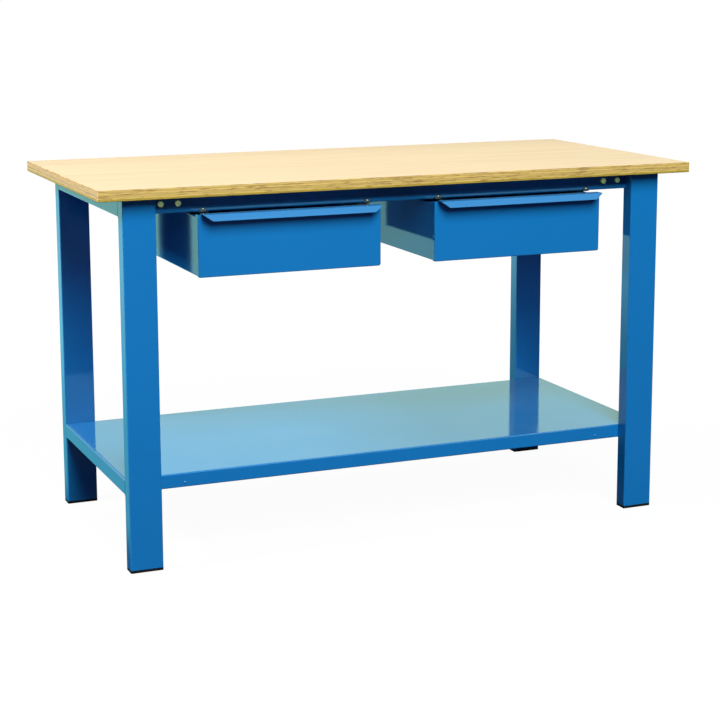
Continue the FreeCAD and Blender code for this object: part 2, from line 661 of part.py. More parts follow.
def drawer_runner(side):
    """Channel under the front and rear rails, with a tab at each end turned up over the rail's lip."""
    half_sheet = RUNNER_SHEET / 2
    web = side * (RUNNER_INNER + half_sheet)
    low = RUNNER_BOTTOM + half_sheet
    high = LONG_RAIL_BOTTOM - half_sheet
    outer = side * RUNNER_OUTER
    points = [(outer, high), (web, high), (web, low), (outer, low)]
    section = folded_section(points, RUNNER_SHEET, RUNNER_BEND, plane_xz(RUNNER_FRONT_Y))
    channel = section.extrude(vector(0, REAR_LIP_Y - RUNNER_FRONT_Y, 0))

    pieces = []
    holes = [pad_spigot(side, SCREW_HOLE_CLEARANCE)]
    tab_x = side * RUNNER_MIDDLE - RUNNER_TAB_WIDTH / 2
    for lip_y, inward in ((FRONT_LIP_Y, 1), (REAR_LIP_Y, -1)):
        tab_y = lip_y - inward * half_sheet
        root_y = lip_y + inward * (RUNNER_FRONT_SETBACK + RUNNER_TAB_WIDTH)
        tab_points = [(root_y, high), (tab_y, high), (tab_y, LONG_RAIL_BOTTOM + LONG_RAIL_LIP)]
        tab = folded_section(tab_points, RUNNER_SHEET, RUNNER_BEND, plane_yz(tab_x))
        pieces.append(tab.extrude(vector(RUNNER_TAB_WIDTH, 0, 0)))
        outwards = vector(0, -inward, 0)
        place = vector(side * RUNNER_MIDDLE, lip_y, RUNNER_SCREW_Z)
        holes.append(rod(RUNNER_SCREW_RADIUS + SCREW_HOLE_CLEARANCE, place, outwards, RUNNER_SHEET))

    stop_x0, stop_x1 = ordered(side * GLIDE_OUTER, side * (GLIDE_OUTER - RUNNER_STOP_WIDTH))
    stop_y = TRAY_REAR_Y + RUNNER_STOP_GAP
    pieces.append(block((stop_x0, stop_y, RUNNER_LEDGE), (stop_x1, stop_y + RUNNER_SHEET, TRAY_TOP)))
    return channel.multiFuse(pieces).removeSplitter().cut(group(holes))


def glide_pads():
    """Nylon pads on the runners' front ends, each held by a spigot through the runner's ledge."""
    pads = []
    for _, side in SIDES:
        x0, x1 = ordered(side * GLIDE_INNER, side * GLIDE_OUTER)
        pad = block(
            (x0, GLIDE_PAD_FRONT_Y, RUNNER_LEDGE),
            (x1, GLIDE_PAD_REAR_Y, RUNNER_LEDGE + GLIDE_THICKNESS),
        )
        pads.append(pad.fuse(pad_spigot(side, 0)).removeSplitter())
    return group(pads)


def runner_screws():
    screw = pan_screw(
        RUNNER_SCREW_RADIUS, RUNNER_SCREW_HEAD_RADIUS, RUNNER_SCREW_HEAD_HEIGHT, RUNNER_SCREW_LENGTH
    )
    return group([
        turned_to(screw, place + vector(0, -inward * RUNNER_SHEET, 0), vector(0, -inward, 0))
        for _, rail_y, inward in RAILS
        for place in runner_screw_places(rail_y, inward)
    ])


def bench():
    """Every piece of the bench, by name."""
    pieces = {"worktop": worktop(), "worktop_screws": worktop_screws()}
    for name, side, rail_y, inward in CORNERS:
        pieces["leg_" + name] = leg(side, rail_y, inward)
        pieces["foot_cap_" + name] = foot_cap(side, rail_y, inward)
        pieces["rail_bracket_" + name] = rail_bracket(side, rail_y, inward)
        pieces["shelf_cleat_" + name] = shelf_cleat(side, rail_y, inward)
    for name, side in SIDES:
        pieces["upper_side_rail_" + name] = side_rail(side, TOP_UNDERSIDE, UPPER_SIDE_RAIL_HEIGHT)
        pieces["lower_side_rail_" + name] = side_rail(side, SHELF_UNDERSIDE, LOWER_SIDE_RAIL_HEIGHT)
    for name, rail_y, inward in RAILS:
        pieces[name + "_rail"] = long_rail(rail_y, inward)
    pieces["rail_bolts"] = rail_bolts()
    pieces["rail_nuts"] = rail_nuts()
    pieces["shelf"] = shelf()
    pieces["shelf_screws"] = shelf_screws()
    pieces["shelf_nuts"] = shelf_nuts()
    pieces["runner_screws"] = runner_screws()

    makers = {
        "front": drawer_front(),
        "tray": drawer_tray(),
        "back": drawer_back(),
        "glide_shoes": drawer_glide_shoes(),
        "glide_pads": glide_pads(),
        "runner_left": drawer_runner(-1),
        "runner_right": drawer_runner(1),
    }
    for name, side in SIDES:
        move = vector(side * DRAWER_CENTRE_X, 0, 0)
        for piece, shape in makers.items():
            pieces[f"{name}_drawer_{piece}"] = shape.translated(move)
    return pieces


def main():
    os.makedirs("parts", exist_ok=True)
    for name, shape in bench().items():
        shape.exportStep(os.path.join("parts", name + ".step"))
        print(f"{name}: {len(shape.Solids)} solids, {shape.Volume / 1000:.1f} cm3, valid {shape.isValid()}")


main()
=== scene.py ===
"""Looks of a steel workbench: plywood top, welded end frames, lower shelf and two hanging drawers.

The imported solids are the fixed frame. Every node gets a finish worked out from shader nodes. Weld beads
and spot-weld marks are added as meshes, and screws with round heads replace the small CAD ones. Metres,
+Z up, X along the bench, Y to the back.
"""

import logging
import math
from collections.abc import Iterator, Sequence
from dataclasses import dataclass
from enum import Enum
from functools import cache, cached_property
from itertools import chain
from typing import Protocol, Union

import bpy
import numpy as np
from bpy.types import ID, Material, Node, NodeTree, Object, World
from bpy.types import NodeSocket as Socket
from mathutils import Matrix, Vector


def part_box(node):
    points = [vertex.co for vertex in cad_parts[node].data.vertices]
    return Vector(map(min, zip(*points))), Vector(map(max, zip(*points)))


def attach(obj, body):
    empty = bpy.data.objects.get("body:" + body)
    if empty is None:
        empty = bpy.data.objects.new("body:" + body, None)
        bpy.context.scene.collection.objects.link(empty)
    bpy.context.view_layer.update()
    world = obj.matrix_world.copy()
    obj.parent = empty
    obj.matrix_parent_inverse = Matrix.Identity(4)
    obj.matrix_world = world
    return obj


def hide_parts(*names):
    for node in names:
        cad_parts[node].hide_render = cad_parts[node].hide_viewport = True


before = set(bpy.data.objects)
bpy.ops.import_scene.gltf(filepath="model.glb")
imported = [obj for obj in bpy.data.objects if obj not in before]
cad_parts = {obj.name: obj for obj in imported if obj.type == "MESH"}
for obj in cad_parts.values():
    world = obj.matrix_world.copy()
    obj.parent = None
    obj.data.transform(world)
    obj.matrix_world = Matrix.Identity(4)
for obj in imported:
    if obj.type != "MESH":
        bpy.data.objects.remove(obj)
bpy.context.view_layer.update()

log = logging.getLogger("workbench")

Colour = tuple[float, float, float]
Point = tuple[float, float, float]
Span = tuple[float, float]
Feed = Union[Socket, float, tuple[float, ...]]
WHITE: Colour = (1.0, 1.0, 1.0)
SHARP_CORNER = math.radians(40.0)


class Word(Enum):
    """Choices whose names are part of the nodes' names."""

    @property
    def word(self) -> str:
        """The choice's name as the nodes spell it."""
        return self.name.lower()


class Side(Word):
    """The two ends of the bench, seen by someone standing at it."""

    LEFT = -1
    RIGHT = 1


class Row(Word):
    """The two rows of legs, with the way from each into the bench along Y."""

    FRONT = 1
    REAR = -1


class Slot(Enum):
    """The record's material slots."""

    PLYWOOD = "plywood"
    ENAMEL = "blue_enamel"
    PLASTIC = "black_plastic"
    YELLOW_ZINC = "yellow_zinc"
    WHITE_ZINC = "white_zinc"
    GALVANISED = "galvanised"
    NYLON = "nylon"


@dataclass(frozen=True)
class Graph:
    """A node tree, with short calls that add a node and link what feeds it."""

    tree: NodeTree

    def fill(self, node: Node, feeds: dict[str | int, Feed]) -> None:
        """Feeds inputs of a node: links sockets to them, and sets constants on them.

        Args:
            node: The node.
            feeds: A socket, number, vector or colour for each input, by its name or place.
        """
        for key, value in feeds.items():
            taker = node.inputs[key]
            if isinstance(value, Socket):
                self.tree.links.new(value, taker)
            else:
                taker.default_value = (*value, 1.0) if taker.type == "RGBA" else value

    def node(self, kind: str, feeds: dict[str | int, Feed], **settings: object) -> Node:
        """Adds a node.

        Args:
            kind: The node's type.
            feeds: What goes into its inputs, by their names or places.
            settings: Values of the node's own properties.

        Returns:
            The new node.
        """
        made = self.tree.nodes.new(kind)
        for name, value in settings.items():
            setattr(made, name, value)
        self.fill(made, feeds)
        return made

    def math(self, operation: str, *feeds: Feed) -> Socket:
        """One step of arithmetic on numbers."""
        return self.node("ShaderNodeMath", dict(enumerate(feeds)), operation=operation).outputs[0]

    def mix(self, factor: Feed, first: Feed, second: Feed, blend: str = "MIX") -> Socket:
        """A mix of two colours, which has its own inputs and output on the node."""
        feeds = {0: factor, 6: first, 7: second}
        return self.node("ShaderNodeMix", feeds, data_type="RGBA", blend_type=blend).outputs[2]

    def times(self, colour: Feed, shade: Feed) -> Socket:
        """A colour multiplied by a shade, or by another colour."""
        return self.mix(1.0, colour, shade, "MULTIPLY")

    def stretched(self, vector: Socket, scale: tuple[float, ...], turn: float = 0.0) -> Socket:
        """A vector scaled along its axes, then turned about Z by an angle in radians."""
        feeds = {"Vector": vector, "Scale": scale, "Rotation": (0.0, 0.0, turn)}
        return self.node("ShaderNodeMapping", feeds).outputs[0]

    def noise(self, vector: Socket, scale: Feed, detail: float = 2.0, distortion: float = 0.0) -> Socket:
        """Smooth noise from 0 to 1."""
        feeds = {"Vector": vector, "Scale": scale, "Detail": detail, "Distortion": distortion}
        return self.node("ShaderNodeTexNoise", feeds).outputs[0]

    def lot(self, number: Socket) -> Socket:
        """A random number from 0 to 1 that belongs to a whole number."""
        return self.node("ShaderNodeTexWhiteNoise", {"W": number}, noise_dimensions="1D").outputs[0]

    def rise(self, value: Feed, low: Feed, high: Feed) -> Socket:
        """A smooth step from 0, below low, to 1, above high."""
        feeds = {"Value": value, "From Min": low, "From Max": high}
        return self.node("ShaderNodeMapRange", feeds, interpolation_type="SMOOTHSTEP").outputs[0]

    def spread(self, value: Feed, low: Feed, high: Feed) -> Socket:
        """A number from 0 to 1, spread from low to high."""
        return self.node("ShaderNodeMapRange", {"Value": value, "To Min": low, "To Max": high}).outputs[0]

    def parts(self, vector: Socket) -> tuple[Socket, Socket, Socket]:
        """The X, Y and Z of a vector."""
        return tuple(self.node("ShaderNodeSeparateXYZ", {0: vector}).outputs)

    def bump(self, height: Socket, strength: float, distance: float) -> Socket:
        """A normal roughened by a height, where a height of one stands for the distance in metres."""
        feeds = {"Height": height, "Strength": strength, "Distance": distance}
        return self.node("ShaderNodeBump", feeds).outputs[0]

    def effect(self, group: NodeTree, vector: Socket, **feeds: Feed) -> dict[str, Socket]:
        """Places a shared node group with its own values.

        Args:
            group: The node group.
            vector: The vector that its pattern lies on.
            feeds: What goes into its other inputs, by their names in small letters.

        Returns:
            Its results, by their names.
        """
        named = {name.capitalize(): value for name, value in feeds.items()}
        placed = self.node("ShaderNodeGroup", {"Vector": vector, **named}, node_tree=group)
        return {socket.name: socket for socket in placed.outputs}


def clean_graph(owner: Union[Material, World]) -> Graph:
    """Empties the graph of a new material or world.

    Args:
        owner: The material or world.

    Returns:
        Its graph.
    """
    owner.use_nodes = True
    owner.node_tree.nodes.clear()
    return Graph(owner.node_tree)


def put_in_scene(name: str, data: ID) -> Object:
    """Makes an object of the scene.

    Args:
        name: The object's name.
        data: Its mesh, light or lens.

    Returns:
        The object.
    """
    made = bpy.data.objects.new(name, data)
    bpy.context.scene.collection.objects.link(made)
    return made


def open_group(
    name: str, inputs: Sequence[str], outputs: Sequence[str]
) -> tuple[Graph, dict[str, Socket], Node]:
    """Starts a shared node group. Its first input is the vector that its pattern lies on.

    Args:
        name: The group's name.
        inputs: Names of the number inputs that follow the vector.
        outputs: Names of the number outputs.

    Returns:
        The group's graph, its inputs by name, and the node that takes its results.
    """
    tree = bpy.data.node_groups.new(name, "ShaderNodeTree")
    tree.interface.new_socket("Vector", in_out="INPUT", socket_type="NodeSocketVector")
    for title in inputs:
        tree.interface.new_socket(title, in_out="INPUT", socket_type="NodeSocketFloat")
    for title in outputs:
        tree.interface.new_socket(title, in_out="OUTPUT", socket_type="NodeSocketFloat")
    graph = Graph(tree)
    given = graph.node("NodeGroupInput", {})
    result = graph.node("NodeGroupOutput", {})
    return graph, {socket.name: socket for socket in given.outputs if socket.name}, result


@cache
def coating_ripple() -> NodeTree:
    """Height of a coat that flowed out unevenly: a broad noise, plus a share of a finer one.

    Returns:
        The node group, with the output Height.
    """
    fine_share = 0.35
    graph, given, result = open_group("coating_ripple", ["Scale", "Fineness"], ["Height"])
    broad = graph.noise(given["Vector"], given["Scale"], detail=1.0)
    fine_scale = graph.math("MULTIPLY", given["Scale"], given["Fineness"])
    fine = graph.noise(given["Vector"], fine_scale, detail=2.0)
    graph.fill(result, {"Height": graph.math("MULTIPLY_ADD", fine, fine_share, broad)})
    return graph.tree


@cache
def tone_drift() -> NodeTree:
    """A shade that drifts slowly over a surface: one, plus or minus the spread.

    Returns:
        The node group, with the output Shade.
    """
    graph, given, result = open_group("tone_drift", ["Scale", "Spread"], ["Shade"])
    drift = graph.noise(given["Vector"], given["Scale"], detail=3.0)
    darkest = graph.math("SUBTRACT", 1.0, given["Spread"])
    lightest = graph.math("ADD", 1.0, given["Spread"])
    graph.fill(result, {"Shade": graph.spread(drift, darkest, lightest)})
    return graph.tree


@cache
def settled_dust() -> NodeTree:
    """A mask of fine dust: patchy noise, only where the surface faces up.

    Returns:
        The node group, with the output Mask.
    """
    level, patchy = (0.55, 0.95), (0.35, 0.75)
    graph, given, result = open_group("settled_dust", ["Scale", "Amount"], ["Mask"])
    normal = graph.node("ShaderNodeNewGeometry", {}).outputs["Normal"]
    facing_up = graph.rise(graph.parts(normal)[2], *level)
    thick = graph.rise(graph.noise(given["Vector"], given["Scale"], detail=6.0), *patchy)
    settled = graph.math("MULTIPLY", facing_up, thick)
    graph.fill(result, {"Mask": graph.math("MULTIPLY", settled, given["Amount"])})
    return graph.tree


@cache
def hairline_scuffs() -> NodeTree:
    """A mask of fine scuffs: two noises drawn out to thin lines along X, set apart by their turns.

    Returns:
        The node group, with the output Mask.
    """
    thin, turns, fine = 34.0, (0.35, -0.9), (0.66, 0.74)
    graph, given, result = open_group("hairline_scuffs", ["Scale", "Amount"], ["Mask"])
    lines = []
    for turn in turns:
        drawn_out = graph.stretched(given["Vector"], (1.0, thin, thin), turn)
        lines.append(graph.rise(graph.noise(drawn_out, given["Scale"], detail=3.0), *fine))
    either = graph.math("MAXIMUM", *lines)
    graph.fill(result, {"Mask": graph.math("MULTIPLY", either, given["Amount"])})
    return graph.tree


@cache
def wood_figure() -> NodeTree:
    """Wood whose grain runs along X of the vector: growth bands, fibres and short pores.

    Each is a noise drawn out along X, by 24, 70 and 22 times, and each finer than the last.

    Returns:
        The node group, with the outputs Growth, Fibre and Pore.
    """
    band, fibre, pore = (1.0, 24.0, 24.0), (5.0, 350.0, 350.0), (28.0, 620.0, 620.0)
    sparse = (0.66, 0.76)
    graph, given, result = open_group("wood_figure", ["Scale"], ["Growth", "Fibre", "Pore"])
    bands, fibres, pores = (graph.stretched(given["Vector"], shape) for shape in (band, fibre, pore))
    flecks = graph.noise(pores, given["Scale"], detail=1.0)
    graph.fill(result, {
        "Growth": graph.noise(bands, given["Scale"], detail=3.0, distortion=0.6),
        "Fibre": graph.noise(fibres, given["Scale"], detail=3.0),
        "Pore": graph.rise(flecks, *sparse),
    })
    return graph.tree


def open_material(name: str) -> tuple[Material, Graph, Node, Socket]:
    """Starts a material with one Principled shader.

    Args:
        name: The material's name.

    Returns:
        The material, its graph, its shader and the socket of object coordinates.
    """
    material = bpy.data.materials.new(name)
    graph = clean_graph(material)
    shader = graph.node("ShaderNodeBsdfPrincipled", {})
    graph.node("ShaderNodeOutputMaterial", {"Surface": shader.outputs[0]})
    places = graph.node("ShaderNodeTexCoord", {}).outputs["Object"]
    return material, graph, shader, places


class Finish(Protocol):
    """What every finish has: the record's slot that it stands for, and its material."""

    slot: Slot
    material: Material


@dataclass(frozen=True)
class Enamel:
    """Blue stove enamel: glossy, with a faint ripple, some dust on level faces and light scuffs."""

    slot: Slot = Slot.ENAMEL
    colour: Colour = (0.006, 0.192, 0.505)
    dust: Colour = (0.42, 0.47, 0.5)
    gloss: float = 0.06
    dust_dulling: float = 1.6
    scuff_dulling: float = 0.07
    reflection: float = 0.85
    ripple_scale: float = 95.0
    ripple_strength: float = 0.25
    ripple_height: float = 0.00012

    @cached_property
    def material(self) -> Material:
        """The enamel as a material."""
        material, graph, shader, places = open_material(self.slot.value)
        drift = graph.effect(tone_drift(), places, scale=2.2, spread=0.07)["Shade"]
        dust = graph.effect(settled_dust(), places, scale=7.0, amount=0.05)["Mask"]
        scuffs = graph.effect(hairline_scuffs(), places, scale=9.0, amount=0.5)["Mask"]
        ripple = graph.effect(coating_ripple(), places, scale=self.ripple_scale, fineness=4.0)
        dulled = graph.math("MULTIPLY_ADD", dust, self.dust_dulling, self.gloss)
        graph.fill(shader, {
            "Base Color": graph.mix(dust, graph.times(self.colour, drift), self.dust),
            "Roughness": graph.math("MULTIPLY_ADD", scuffs, self.scuff_dulling, dulled),
            "Normal": graph.bump(ripple["Height"], self.ripple_strength, self.ripple_height),
            "Specular IOR Level": self.reflection,
        })
        return material


@dataclass(frozen=True)
class Plywood:
    """Beech plywood: a clear face veneer with its grain along X, and plies that show at the edges.

    A span holds two levels between which a mark appears, or two shades. One named for side and end holds
    a value for the long edges and one for the short ones.
    """

    slot: Slot = Slot.PLYWOOD
    face: Colour = (0.815, 0.605, 0.36)
    face_dark: Colour = (0.70, 0.485, 0.27)
    fleck: Colour = (0.56, 0.37, 0.19)
    along_ply: Colour = (0.74, 0.535, 0.165)
    across_ply: Colour = (0.62, 0.435, 0.115)
    # The short ends' ply colours are the wood's own, made lighter by painted light.
    end_along_ply: Colour = (1.0, 0.70, 0.32)
    end_across_ply: Colour = (0.93, 0.61, 0.25)
    glue: Colour = (0.10, 0.06, 0.02)
    # Colours the dark streaks and chipped top rim, and also the painted shade along the bottom rim.
    heartwood: Colour = (0.30, 0.17, 0.05)
    resin: Colour = (0.78, 0.82, 0.45)
    face_normal: Span = (0.8, 0.9)
    end_normal: Span = (0.6, 0.65)
    figure_scale: float = 2.4
    growth_span: Span = (0.42, 0.72)
    growth_share: float = 0.5
    fibre_span: Span = (0.45, 0.8)
    fibre_share: float = 0.35
    fleck_share: float = 0.35
    strip_width: float = 0.23
    strip_tones: Span = (0.95, 1.03)
    plies: int = 9
    ply_sway: float = 0.5
    ply_seed: float = 3.7
    ply_tones: Span = (0.84, 1.10)
    fibre_tones: Span = (0.72, 1.22)
    streak_span: Span = (0.54, 0.66)
    streaks_side_end: Span = (0.75, 0.3)
    gap_span: Span = (0.56, 0.64)
    gap_height: Span = (0.24, 0.46)
    gaps_side_end: Span = (0.95, 0.4)
    least_gap: float = 0.08
    gap_depth: float = 1.5
    rim_height: float = 0.002
    chip_span: Span = (0.42, 0.6)
    resin_height: Span = (0.009, 0.0027)
    roughness: float = 0.56
    dust_dulling: float = 0.5
    scuff_polish: float = 0.08
    reflection: float = 0.14
    relief_strength: float = 0.35
    relief_height: float = 0.0003

    def _face_colour(self, graph: Graph, figure: dict[str, Socket], places: Socket) -> Socket:
        """Colour of the face veneer, whose strips differ a little in tone.

        Args:
            graph: The material's graph.
            figure: The wood figure along X.
            places: Object coordinates.

        Returns:
            The colour's socket.
        """
        strip = graph.math("FLOOR", graph.math("DIVIDE", graph.parts(places)[1], self.strip_width))
        growth = graph.rise(figure["Growth"], *self.growth_span)
        fibre = graph.rise(figure["Fibre"], *self.fibre_span)
        banded = graph.math("MULTIPLY", growth, self.growth_share)
        darkness = graph.math("MULTIPLY_ADD", fibre, self.fibre_share, banded)
        flecks = graph.math("MULTIPLY", figure["Pore"], self.fleck_share)
        veneer = graph.mix(flecks, graph.mix(darkness, self.face, self.face_dark), self.fleck)
        return graph.times(veneer, graph.spread(graph.lot(strip), *self.strip_tones))

    def _glue_gaps(self, graph: Graph, layer: Socket, own_places: Socket, on_end: Socket) -> Socket:
        """A mask of starved glue joints: patches of noise, where the layer is near a whole number.

        Args:
            graph: The material's graph.
            layer: Height over the board's underside, counted in plies.
            own_places: Object coordinates, set apart for each ply.
            on_end: One on the two short edges, nought on the long ones.

        Returns:
            The mask's socket.
        """
        from_middle = graph.math("ABSOLUTE", graph.math("SUBTRACT", graph.math("FRACT", layer), 0.5))
        drawn_out = graph.stretched(own_places, (1.0, 1.0, 30.0))
        starved = graph.rise(graph.noise(drawn_out, scale=15.0, detail=4.0), *self.gap_span)
        opened = graph.spread(starved, self.least_gap, graph.spread(on_end, *self.gaps_side_end))
        return graph.math("MULTIPLY", graph.rise(from_middle, *self.gap_height), opened)

    def _edge(self, graph: Graph, places: Socket, on_end: Socket, fibre: Socket) -> tuple[Socket, Socket]:
        """The plies at the board's edges, each with its own tone, dark streaks and starved glue joints,
        and painted shade along the bottom rim.

        A point's layer is its height over the board's underside, counted in plies and swayed a little.

        Args:
            graph: The material's graph.
            places: Object coordinates.
            on_end: One on the two short edges, nought on the long ones.
            fibre: Fine streaks along the edge.

        Returns:
            The edge's colour, and its relief.
        """
        low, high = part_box("worktop")
        thickness = high.z - low.z
        level = graph.stretched(places, (1.0, 1.0, 0.0))
        height = graph.math("SUBTRACT", graph.parts(places)[2], low.z)
        sway = graph.noise(level, scale=9.0, detail=3.0)
        straight = graph.math("DIVIDE", height, thickness / self.plies)
        layer = graph.math("MULTIPLY_ADD", sway, self.ply_sway, straight)
        number = graph.math("FLOOR", layer)
        lift = graph.math("MULTIPLY", number, self.ply_seed)
        seed = graph.node("ShaderNodeCombineXYZ", {"Z": lift}).outputs[0]
        own_places = graph.node("ShaderNodeVectorMath", {0: places, 1: seed}, operation="ADD").outputs[0]

        # Dark wood: streaks along the plies and a chipped rim above; the whole dark rim below is painted
        # shade on the down-facing bevel
        drawn_out = graph.stretched(own_places, (1.0, 1.0, 9.0))
        streaks = graph.rise(graph.noise(drawn_out, scale=31.0), *self.streak_span)
        own_streaks = graph.math("MULTIPLY", streaks, graph.spread(on_end, *self.streaks_side_end))
        from_top = graph.math("SUBTRACT", thickness, height)
        chipped = graph.rise(graph.noise(level, scale=19.0), *self.chip_span)
        top_rim = graph.math("MULTIPLY", graph.rise(from_top, self.rim_height, 0.0), chipped)
        top_rim_and_painted_bottom_shade = graph.math("MAXIMUM", top_rim, graph.rise(height, self.rim_height, 0.0))
        dark_wood_and_painted_shade = graph.math("MAXIMUM", own_streaks, top_rim_and_painted_bottom_shade)

        # Colour: plies along and across by turns, then fibres, dark wood, resin and the gaps
        turned = graph.math("ABSOLUTE", graph.math("SUBTRACT", graph.math("MODULO", number, 2.0), on_end))
        # Painted light: the short ends take lighter ply colours than the long edges.
        along = graph.mix(on_end, self.along_ply, self.end_along_ply)
        across = graph.mix(on_end, self.across_ply, self.end_across_ply)
        plain = graph.mix(turned, along, across)
        toned = graph.times(plain, graph.spread(graph.lot(number), *self.ply_tones))
        fibrous = graph.times(toned, graph.spread(fibre, *self.fibre_tones))
        streaked = graph.mix(dark_wood_and_painted_shade, fibrous, self.heartwood)
        resinous = graph.rise(height, *self.resin_height)
        tinted = graph.mix(resinous, streaked, graph.times(streaked, self.resin))
        gap = self._glue_gaps(graph, layer, own_places, on_end)
        return graph.mix(gap, tinted, self.glue), graph.math("MULTIPLY_ADD", gap, -self.gap_depth, fibre)

    @cached_property
    def material(self) -> Material:
        """The plywood as a material."""
        material, graph, shader, places = open_material(self.slot.value)
        flat = graph.node("ShaderNodeNewGeometry", {}).outputs["True Normal"]
        normal_x, _, normal_z = graph.parts(flat)
        on_face = graph.rise(graph.math("ABSOLUTE", normal_z), *self.face_normal)
        on_end = graph.rise(graph.math("ABSOLUTE", normal_x), *self.end_normal)
        along_x = graph.effect(wood_figure(), places, scale=self.figure_scale)
        turned = graph.stretched(places, (1.0, 1.0, 1.0), math.pi / 2)
        along_y = graph.effect(wood_figure(), turned, scale=self.figure_scale)
        edge_fibre = graph.mix(on_end, along_x["Fibre"], along_y["Fibre"])
        edge, edge_height = self._edge(graph, places, on_end, edge_fibre)
        face = self._face_colour(graph, along_x, places)
        face_height = graph.math("SUBTRACT", along_x["Fibre"], along_x["Pore"])
        relief = graph.mix(on_face, edge_height, face_height)
        dust = graph.effect(settled_dust(), places, scale=5.0, amount=0.08)["Mask"]
        scuffs = graph.effect(hairline_scuffs(), places, scale=7.0, amount=0.5)["Mask"]
        dulled = graph.math("MULTIPLY_ADD", dust, self.dust_dulling, self.roughness)
        graph.fill(shader, {
            "Base Color": graph.mix(on_face, edge, face),
            "Roughness": graph.math("MULTIPLY_ADD", scuffs, -self.scuff_polish, dulled),
            "Normal": graph.bump(relief, self.relief_strength, self.relief_height),
            "Specular IOR Level": self.reflection,
        })
        return material


@dataclass(frozen=True)
class Plating:
    """Zinc plating: bare metal with a drifting tint and fine wear."""

    slot: Slot
    colour: Colour
    tint: Colour
    tint_scale: float
    roughness: float
    tint_span: Span = (0.35, 0.68)
    scuff_dulling: float = 0.12
    ripple_strength: float = 0.2
    ripple_height: float = 0.0001

    @cached_property
    def material(self) -> Material:
        """The plating as a material."""
        material, graph, shader, places = open_material(self.slot.value)
        clouds = graph.rise(graph.noise(places, self.tint_scale), *self.tint_span)
        drift = graph.effect(tone_drift(), places, scale=60.0, spread=0.12)["Shade"]
        scuffs = graph.effect(hairline_scuffs(), places, scale=60.0, amount=1.0)["Mask"]
        ripple = graph.effect(coating_ripple(), places, scale=700.0, fineness=3.0)
        graph.fill(shader, {
            "Base Color": graph.times(graph.mix(clouds, self.colour, self.tint), drift),
            "Roughness": graph.math("MULTIPLY_ADD", scuffs, self.scuff_dulling, self.roughness),
            "Normal": graph.bump(ripple["Height"], self.ripple_strength, self.ripple_height),
            "Metallic": 1.0,
        })
        return material


@dataclass(frozen=True)
class Galvanised:
    """Hot-dip galvanised sheet: flat crystals of zinc, each with its own grey and gloss."""

    slot: Slot = Slot.GALVANISED
    # Painted shade: this grey is far darker than bare zinc, so that the runners' tabs stay as dark as the
    # shade under the rail.
    colour: Colour = (0.13, 0.135, 0.15)
    crystals: float = 95.0
    crystal_tones: Span = (0.78, 1.12)
    crystal_roughness: Span = (0.62, 0.46)
    scuff_dulling: float = 0.1

    @cached_property
    def material(self) -> Material:
        """The galvanised sheet as a material."""
        material, graph, shader, places = open_material(self.slot.value)
        spangle = graph.node("ShaderNodeTexVoronoi", {"Vector": places, "Scale": self.crystals})
        own_grey = graph.parts(spangle.outputs["Color"])[0]
        dust = graph.effect(settled_dust(), places, scale=9.0, amount=0.2)["Mask"]
        scuffs = graph.effect(hairline_scuffs(), places, scale=24.0, amount=1.0)["Mask"]
        own_roughness = graph.spread(own_grey, *self.crystal_roughness)
        scuffed = graph.math("MULTIPLY_ADD", scuffs, self.scuff_dulling, own_roughness)
        graph.fill(shader, {
            "Base Color": graph.times(self.colour, graph.spread(own_grey, *self.crystal_tones)),
            "Roughness": graph.math("ADD", scuffed, dust),
            "Metallic": 1.0,
        })
        return material


@dataclass(frozen=True)
class Moulded:
    """Moulded plastic: a fine even skin, a little drift in tone and scuffs that shine."""

    slot: Slot
    colour: Colour
    roughness: float
    reflection: float
    skin_scale: float = 900.0
    skin_strength: float = 0.4
    skin_height: float = 0.0002
    scuff_polish: float = 0.15

    @cached_property
    def material(self) -> Material:
        """The moulding as a material."""
        material, graph, shader, places = open_material(self.slot.value)
        drift = graph.effect(tone_drift(), places, scale=30.0, spread=0.12)["Shade"]
        scuffs = graph.effect(hairline_scuffs(), places, scale=40.0, amount=1.0)["Mask"]
        skin = graph.effect(coating_ripple(), places, scale=self.skin_scale, fineness=2.5)
        graph.fill(shader, {
            "Base Color": graph.times(self.colour, drift),
            "Roughness": graph.math("MULTIPLY_ADD", scuffs, -self.scuff_polish, self.roughness),
            "Normal": graph.bump(skin["Height"], self.skin_strength, self.skin_height),
            "Specular IOR Level": self.reflection,
        })
        return material


@dataclass(frozen=True)
class Finishes:
    """The bench's finishes."""

    enamel: Enamel = Enamel()
    plywood: Plywood = Plywood()
    yellow_zinc: Plating = Plating(Slot.YELLOW_ZINC, (0.97, 0.86, 0.52), (0.84, 0.84, 0.56), 130.0, 0.52)
    white_zinc: Plating = Plating(Slot.WHITE_ZINC, (0.78, 0.80, 0.82), (0.66, 0.71, 0.78), 110.0, 0.24)
    galvanised: Galvanised = Galvanised()
    plastic: Moulded = Moulded(Slot.PLASTIC, (0.006, 0.006, 0.007), 0.5, 0.15)
    nylon: Moulded = Moulded(Slot.NYLON, (0.74, 0.72, 0.65), 0.38, 0.5, 500.0)


def cover(finish: Finish, *nodes: str) -> None:
    """Gives CAD nodes a finish.

    Args:
        finish: The finish.
        nodes: The nodes' names.
    """
    for name in nodes:
        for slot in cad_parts[name].material_slots:
            slot.material = finish.material
        log.info("%s wears %s", name, finish.slot.value)


@dataclass(frozen=True)
class Surface:
    """A closed surface: its points, and its quads and two end faces as numbers of points."""

    points: np.ndarray
    quads: np.ndarray
    ends: np.ndarray

    def faces_from(self, first: int) -> list[list[int]]:
        """Its faces, with its points numbered from the given number."""
        return [*(self.quads + first).tolist(), *(self.ends + first).tolist()]


